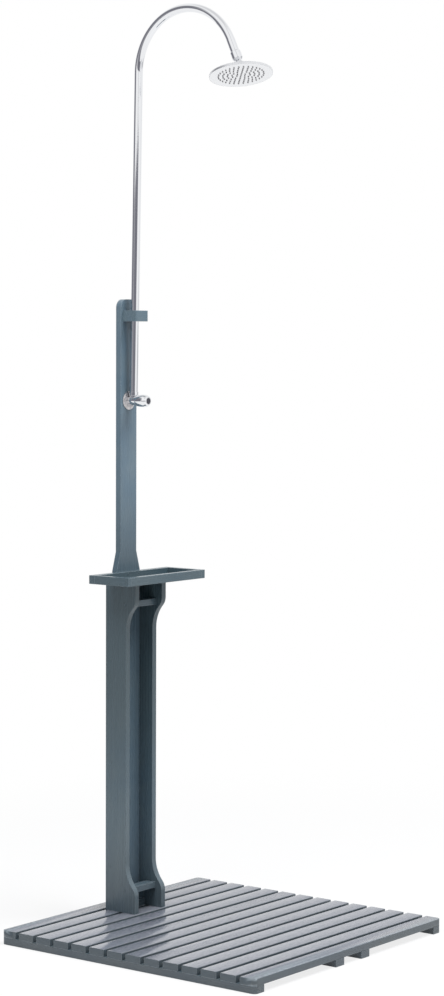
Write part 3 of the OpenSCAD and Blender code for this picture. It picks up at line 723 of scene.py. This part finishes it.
def slat_tree():
    graph, given = new_tree("slats", Count="Int", Length="Float", Width="Float", Thickness="Float",
                            Step="Float", Ease="Float", Corner="Float", Depth="Float")
    section = eased(graph, oblong(graph, given["Width"], given["Thickness"]), given["Ease"], 3)
    half = given["Length"] / 2
    spine = line_between(graph, graph.joined(0 - half, 0, 0), graph.joined(half, 0, 0))
    bar = swept(graph, spine, section)
    row = graph.add("GeometryNodeMeshLine", {}, {
        "Count": given["Count"], "Offset": graph.joined(0, 0 - given["Step"], 0)})
    laid = graph.add("GeometryNodeInstanceOnPoints", {}, {"Points": row, "Instance": bar})
    number = graph.add("GeometryNodeInputIndex") + 1.0
    numbered = graph.add("GeometryNodeStoreNamedAttribute", {"domain": "INSTANCE"}, {
        "Geometry": laid, "Name": "board", "Value": number * BOARD_SPREAD})
    boards = graph.add("GeometryNodeRealizeInstances", {}, {"Geometry": numbered})
    outline = eased(graph, oblong(graph, given["Length"], given["Depth"]), given["Corner"], 8)
    tall = line_between(graph, (0, 0, -50 * MM), (0, 0, 50 * MM))
    cutter = swept(graph, tall, outline)
    middle = (given["Depth"] - given["Width"]) / 2
    cutter = moved(graph, cutter, 0, 0 - middle, 0)
    cut = graph.add("GeometryNodeMeshBoolean", {"operation": "INTERSECT", "solver": "EXACT"}, {
        "Mesh 2": [boards, cutter]})
    return close_tree(graph, cut, deck_paint)


# %% Grow the slats
first_low, first_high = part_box("slat_01")
second_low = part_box("slat_02")[0]
last_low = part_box("slat_14")[0]
slat_size = first_high - first_low
slat_step = first_low.y - second_low.y
print("slat size:", [round(s, 4) for s in slat_size], "step:", round(slat_step, 4))
deck_slats = grow("deck_slats", slat_tree(), {
    "Count": 14, "Length": slat_size.x, "Width": slat_size.y, "Thickness": slat_size.z,
    "Step": slat_step, "Ease": 1.8 * MM, "Corner": 12 * MM, "Depth": first_high.y - last_low.y})
deck_slats.data.transform(Matrix.Translation((first_low + first_high) / 2))
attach(deck_slats, "post")
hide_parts(*(f"slat_{i:02d}" for i in range(1, 15)))

# %% [markdown]
# ## Screws
#
# Ninety screws hold the wood together. All are countersunk with a six-lobed
# recess. Their places, directions and sizes are measured on the CAD nodes, one
# loose part for each screw, and become points that carry them as attributes.
# The tree puts one head and one shank at each point. The shank stretches to the
# screw's own length, while the head only takes its size, so its cone stays true.
# The heads on the post were filled and painted with the boards, so they show
# only as faint discs, and the deck's heads underneath are plain steel.

# %% Measure the screws
def merged_copy(name):
    """A copy of a CAD node's mesh whose loose triangles share their corners."""
    merged = bmesh.new()
    merged.from_mesh(nodes[name].data)
    bmesh.ops.remove_doubles(merged, verts=merged.verts, dist=SAME_POINT)
    return merged


def loose_parts(name):
    """The points of each separate part of a CAD node."""
    merged = merged_copy(name)
    waiting, parts = set(merged.verts), []
    while waiting:
        reached, edge = set(), [waiting.pop()]
        while edge:
            vert = edge.pop()
            reached.add(vert)
            near = {e.other_vert(vert) for e in vert.link_edges} & waiting
            waiting -= near
            edge.extend(near)
        parts.append([v.co.copy() for v in reached])
    merged.free()
    return parts


def measure_screw(points):
    """Middle of the head's face, the direction it is driven, length and head diameter."""
    low = Vector(map(min, *points))
    high = Vector(map(max, *points))
    size = high - low
    long_axis = max(range(3), key=lambda k: size[k])
    middle = (low + high) / 2

    def radius_at(end):
        centre = middle.copy()
        centre[long_axis] = end
        return max((p - centre).length for p in points if abs(p[long_axis] - end) < SAME_PLACE)

    head_is_low = radius_at(low[long_axis]) > radius_at(high[long_axis])
    head_end, tip_end = (low, high) if head_is_low else (high, low)
    face, drive = middle.copy(), Vector((0, 0, 0))
    face[long_axis] = head_end[long_axis]
    drive[long_axis] = 1 if tip_end[long_axis] > head_end[long_axis] else -1
    return face, drive, size[long_axis], 2 * radius_at(head_end[long_axis])


measured = {name: [measure_screw(part) for part in loose_parts(name)]
            for name in ("deck_screws", "foot_bolts", "wood_screws")}
print("screws measured:", {name: len(screws) for name, screws in measured.items()})

# %% Screw tree
def screw_points(name, screws):
    """One point for each screw, with its direction, length and head diameter as attributes."""
    faces, drives, lengths, heads = zip(*screws)
    mesh = plain_mesh(name, faces)
    drive = mesh.attributes.new("drive", "FLOAT_VECTOR", "POINT")
    drive.data.foreach_set("vector", [c for direction in drives for c in direction])
    for title, values in (("length", lengths), ("head", heads)):
        mesh.attributes.new(title, "FLOAT", "POINT").data.foreach_set("value", values)
    return mesh


def screw_tree(name, head_finish, shank_finish):
    """Heads of 1 m across and shanks of 1 m, scaled at each point to the screw's sizes."""
    graph, given = new_tree(name, Head_Height="Float", Shank="Float", Recess="Float", Depth="Float")

    def tube(top, bottom, end, sides):
        return graph.add("GeometryNodeMeshCone", {}, {
            "Vertices": sides, "Radius Top": top, "Radius Bottom": bottom, "Depth": end}, "Mesh")

    head = tube(0.5, given["Shank"] / 2, given["Head Height"], 24)
    head = moved(graph, head, 0, 0, 0 - given["Head Height"])
    star = graph.add("GeometryNodeCurveStar", {}, {
        "Points": 6, "Inner Radius": given["Recess"] * 0.38,
        "Outer Radius": given["Recess"] * 0.5}, "Curve")
    star = eased(graph, star, given["Recess"] * 0.09, 2, limit=True)
    bore = line_between(graph, graph.joined(0, 0, 0 - given["Depth"]), (0, 0, 0.2))
    head = graph.add("GeometryNodeMeshBoolean", {"operation": "DIFFERENCE", "solver": "EXACT"}, {
        "Mesh 1": head, "Mesh 2": swept(graph, bore, star)})
    head = graph.add("GeometryNodeSetMaterial", {}, {"Geometry": head, "Material": head_finish})
    # The shank starts below the head's face, so that the two don't share a plane
    shank = moved(graph, tube(0.5, 0.25, 0.92, 12), 0, 0, -1)
    shank = graph.add("GeometryNodeSetMaterial", {}, {"Geometry": shank, "Material": shank_finish})

    def read(title, kind="FLOAT"):
        return graph.add("GeometryNodeInputNamedAttribute", {"data_type": kind},
                         {"Name": title}, "Attribute")

    backwards = graph.vector("SUBTRACT", (0, 0, 0), read("drive", "FLOAT_VECTOR"))
    turn = graph.add("FunctionNodeAlignRotationToVector", {"axis": "Z"}, {"Vector": backwards})
    size, reach = read("head"), read("length")

    def place(shape, scale):
        return graph.add("GeometryNodeInstanceOnPoints", {}, {
            "Points": given["Geometry"], "Instance": shape, "Rotation": turn, "Scale": scale})

    heads = place(head, graph.joined(size, size, size))
    thin = size * given["Shank"]
    shanks = place(shank, graph.joined(thin, thin, reach))
    both = graph.add("GeometryNodeJoinGeometry", {}, {"Geometry": [heads, shanks]})
    real = graph.add("GeometryNodeRealizeInstances", {}, {"Geometry": both})
    graph.feed(graph.tree.nodes.new("NodeGroupOutput"), {"Geometry": real})
    return graph.tree


# %% Grow the screws
# Shares of the head's diameter. A filled head keeps only a trace of its recess.
HEAD_HEIGHT, SHANK, RECESS = 0.27, 0.5, 0.62
OPEN_DEPTH, FILLED_DEPTH = 0.2, 0.02
steel_screws = screw_tree("steel_screws", steel, steel)
painted_screws = screw_tree("painted_screws", filled_head_paint, steel)
for name, screws in measured.items():
    filled = name == "wood_screws"
    grown = grow(name + "_driven", painted_screws if filled else steel_screws, {
        "Head Height": HEAD_HEIGHT, "Shank": SHANK, "Recess": RECESS,
        "Depth": FILLED_DEPTH if filled else OPEN_DEPTH}, screw_points(name, screws))
    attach(grown, "post")
    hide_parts(name)

# %% [markdown]
# ## Gooseneck
#
# The chrome pipe leans a degree forward, rises straight, bends through 154
# degrees in one even arc and ends in a short straight sleeve. A pipe is a
# circle led along a path, and this path is a rule: below the bend the height
# grows, inside it the angle does, and after it the pipe runs straight on. So
# the path is written as a formula of the distance along the pipe.

# %% Gooseneck tree
def gooseneck_tree():
    graph, given = new_tree("gooseneck", Start="Float", Rise="Float", Bend_Radius="Float",
                            Bend_Angle="Float", Tail="Float", Pipe_Radius="Float",
                            Sleeve_Step="Float")
    arc = given["Bend Radius"] * given["Bend Angle"]
    whole = given["Rise"] - given["Start"] + arc + given["Tail"]
    steps = 360
    along = graph.add("GeometryNodeInputIndex") * (whole / steps) + given["Start"]
    past_rise = (along - given["Rise"]).most(0)
    angle = past_rise.least(arc) / given["Bend Radius"]
    past_bend = (past_rise - arc).most(0)
    forward = given["Bend Radius"] * (1 - angle.cosine()) + past_bend * angle.sine()
    height = (along.least(given["Rise"]) + given["Bend Radius"] * angle.sine()
              + past_bend * angle.cosine())
    line = graph.add("GeometryNodeMeshLine", {}, {"Count": steps + 1, "Offset": (0, 0, 0.001)})
    path = graph.add("GeometryNodeMeshToCurve", {}, {"Mesh": line})
    path = graph.add("GeometryNodeSetPosition", {}, {
        "Geometry": path, "Position": graph.joined(0, 0 - forward, height)})
    # The sleeve starts with a step just before the bend ends
    sleeve = graph.fade(past_rise, arc - 4 * MM, arc - 3 * MM)
    girth = 1 + sleeve * (given["Sleeve Step"] / given["Pipe Radius"])
    pipe = swept(graph, path, ring(graph, 40, given["Pipe Radius"]), Scale=girth)
    return close_tree(graph, pipe, chrome)


# %% Grow the gooseneck
PIPE_RADIUS = 11 * MM
PIPE_STANDOFF = 17 * MM
PIPE_START = 14 * MM
SLEEVE_STEP = 0.3 * MM
PIPE_LEAN = math.radians(1)
RISE = 842 * MM
BEND_RADIUS = 156 * MM
BEND_ANGLE = math.radians(154)
TAIL = 46 * MM
spine_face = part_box("rosette")[1].y
tap_height = sum(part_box("rosette")[i].z for i in (0, 1)) / 2
pipe_foot = Vector((0, spine_face - PIPE_STANDOFF, tap_height))
gooseneck = grow("gooseneck_pipe", gooseneck_tree(), {
    "Start": PIPE_START, "Rise": RISE, "Bend Radius": BEND_RADIUS, "Bend Angle": BEND_ANGLE,
    "Tail": TAIL, "Pipe Radius": PIPE_RADIUS, "Sleeve Step": SLEEVE_STEP})
pipe_frame = Matrix.Translation(pipe_foot) @ Matrix.Rotation(PIPE_LEAN, 4, "X")
gooseneck.data.transform(pipe_frame)
gooseneck.data.shade_smooth()
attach(gooseneck, "post")
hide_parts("gooseneck")
print("foot of the pipe:", in_short([pipe_foot]))
print("grown pipe:", in_short((gooseneck.bound_box[0], gooseneck.bound_box[6])))

# %% [markdown]
# ## Nozzles
#
# A silicone mat behind the face plate carries 91 soft nozzles, so that lime can
# be rubbed off them with a thumb. They stand on five rings round a middle one,
# six more on each ring than on the last. The ring of a nozzle follows from its
# number: k rings hold 3k(k+1)+1 nozzles, and the inverse of that is a square
# root. The nozzle is half a section led round a small circle, like clay on a
# wheel. That keeps the bore open and needs no Boolean node.

# %% Nozzle tree
def nozzle_tree():
    graph, given = new_tree("nozzles", Rings="Int", Pitch="Float", Turn="Float", Foot="Float",
                            Tip="Float", Bore="Float", Reach="Float", Seat="Float",
                            Mat_Radius="Float", Mat_Height="Float")
    rings = given["Rings"]
    number = graph.add("GeometryNodeInputIndex")
    row = (((number * (4 / 3) + 1 / 3).root() - 1) / 2).ceiling().most(0)
    first = row * (row - 1) * 3 + 1
    angle = (number - first) * (2 * math.pi) / (row * 6).most(1) + given["Turn"]
    reach = row * given["Pitch"]
    places = graph.add("GeometryNodePoints", {}, {
        "Count": rings * (rings + 1) * 3 + 1,
        "Position": graph.joined(reach * angle.cosine(), reach * angle.sine(), 0)})
    # The section's points run in the order that turns the nozzle's walls outwards
    wheel_radius = given["Bore"] * 1.5
    inner, foot, tip = (given[name] - wheel_radius for name in ("Bore", "Foot", "Tip"))
    seat, end = given["Seat"], 0 - given["Reach"]
    section = four_points(graph, (inner, seat), (inner, end), (tip, end), (foot, seat))
    section = eased(graph, section, given["Bore"] * 0.4, 1, limit=True)
    wheel = ring(graph, 12, wheel_radius)
    nozzle = graph.add("GeometryNodeCurveToMesh", {}, {"Curve": wheel, "Profile Curve": section})
    nozzles = graph.add("GeometryNodeInstanceOnPoints", {}, {"Points": places, "Instance": nozzle})
    mat = graph.add("GeometryNodeMeshCylinder", {}, {
        "Vertices": 64, "Radius": given["Mat Radius"], "Depth": given["Mat Height"]}, "Mesh")
    mat = moved(graph, mat, 0, 0, seat)
    both = graph.add("GeometryNodeJoinGeometry", {}, {"Geometry": [nozzles, mat]})
    return close_tree(graph, both, silicone)


# %% Grow the nozzles
# The head hangs on its ball, turned and tilted against the end of the pipe
FACE_HEIGHT = -26.9 * MM
BALL_DROP = 24 * MM
HEAD_TURN = math.radians(36)
HEAD_TILT = math.radians(14.5)
arc_end = Vector((0, -BEND_RADIUS * (1 - math.cos(BEND_ANGLE)),
                  RISE + BEND_RADIUS * math.sin(BEND_ANGLE)))
head_frame = (pipe_frame @ Matrix.Translation(arc_end)
              @ Matrix.Rotation(BEND_ANGLE - math.pi, 4, "X")
              @ Matrix.Translation((0, 0, -TAIL - BALL_DROP))
              @ Matrix.Rotation(HEAD_TURN, 4, "Z") @ Matrix.Rotation(HEAD_TILT, 4, "X"))
nozzle_mat = grow("nozzle_mat_with_nozzles", nozzle_tree(), {
    "Rings": 5, "Pitch": 11.4 * MM, "Turn": math.radians(10), "Foot": 1.9 * MM,
    "Tip": 1.3 * MM, "Bore": 0.6 * MM, "Reach": 2.6 * MM, "Seat": 1.95 * MM,
    "Mat Radius": 63.9 * MM, "Mat Height": 1.5 * MM})
nozzle_mat.data.transform(head_frame @ Matrix.Translation((0, 0, FACE_HEIGHT)))
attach(nozzle_mat, "shower_head")
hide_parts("nozzle_mat")
print("grown mat:", in_short(
    [[end(v.co[k] for v in nozzle_mat.data.vertices) for k in range(3)] for end in (min, max)]))

# %% [markdown]
# ## Inlet thread
#
# The tap's shank goes through the plank, takes its nut behind it and ends in a
# half-inch pipe thread for the hose. The solid model has a plain cylinder at
# the thread's outer diameter. Here a copy of the tap's body has that cylinder
# shrunk to the thread's root, and a ridge with the true pitch is led round it on
# a helix. At both ends the ridge runs out into the root over a part of a turn,
# as a cut thread does. The threaded end is left as bare brass.

# %% Thread tree
def thread_tree():
    graph, given = new_tree("inlet_thread", Root="Float", Depth="Float", Pitch="Float",
                            Length="Float")
    steps_per_turn = 32
    turns = given["Length"] / given["Pitch"]
    count = (turns * steps_per_turn).whole()
    number = graph.add("GeometryNodeInputIndex")
    line = graph.add("GeometryNodeMeshLine", {}, {"Count": count, "Offset": (0, 0, 0.001)})
    path = graph.add("GeometryNodeMeshToCurve", {}, {"Mesh": line})
    angle = number * (2 * math.pi / steps_per_turn)
    path = graph.add("GeometryNodeSetPosition", {}, {"Geometry": path, "Position": graph.joined(
        given["Root"] * angle.cosine(), given["Root"] * angle.sine(),
        number * given["Pitch"] / steps_per_turn)})
    path = graph.add("GeometryNodeSetCurveNormal", {"mode": "Z_UP"}, {"Curve": path})
    # The ridge's foot sinks a little into the root, and its crest is narrow
    low, high = given["Pitch"] * -0.46, given["Pitch"] * 0.46
    sunk, crest = given["Depth"] * -0.2, given["Depth"]
    section = four_points(graph, (sunk, low), (crest, low * 0.2), (crest, high * 0.2), (sunk, high))
    run_out = steps_per_turn * 0.6
    grown_in = graph.fade(number, 0, run_out, 0.02)
    grown_in = grown_in * graph.fade(number, count - run_out, count, 1.0, 0.02)
    return close_tree(graph, swept(graph, path, section, Scale=grown_in), thread_brass)


# %% Grow the thread on the tap's body
THREAD_RADIUS = 10.4775 * MM
THREAD_DEPTH = 1.162 * MM
THREAD_PITCH = 1.814 * MM
THREAD_LENGTH = 8.2 * MM
INLET_START = 342 * MM
RIDGE_START = INLET_START + 0.9 * MM
CHROME_SLOT, BRASS_SLOT = 0, 1
ridge = grow("inlet_ridge", thread_tree(), {
    "Root": THREAD_RADIUS - THREAD_DEPTH, "Depth": THREAD_DEPTH,
    "Pitch": THREAD_PITCH, "Length": THREAD_LENGTH})
ridge.data.transform(Matrix.Translation((0, RIDGE_START, tap_height))
                     @ Matrix.Rotation(math.radians(-90), 4, "X"))
for face in ridge.data.polygons:
    face.material_index = BRASS_SLOT
tap_body = merged_copy("valve_body")


def on_inlet(vert):
    """Whether a point belongs to the threaded end."""
    return vert.co.y > INLET_START - SAME_PLACE


for face in tap_body.faces:
    face.smooth = False
    face.material_index = BRASS_SLOT if all(on_inlet(v) for v in face.verts) else CHROME_SLOT
for vert in tap_body.verts:
    across = Vector((vert.co.x, 0, vert.co.z - tap_height))
    if on_inlet(vert) and abs(across.length - THREAD_RADIUS) < 2 * SAME_PLACE:
        vert.co -= across.normalized() * THREAD_DEPTH
tap_body.from_mesh(ridge.data)
threaded_mesh = bpy.data.meshes.new("threaded_tap_body")
tap_body.to_mesh(threaded_mesh)
tap_body.free()
bpy.data.objects.remove(ridge)
for finish in (chrome, thread_brass):
    threaded_mesh.materials.append(finish)
threaded_tap_body = bpy.data.objects.new("threaded_tap_body", threaded_mesh)
scene.collection.objects.link(threaded_tap_body)
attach(threaded_tap_body, "post")
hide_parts("valve_body")
print("threaded body:", len(threaded_mesh.polygons), "faces")
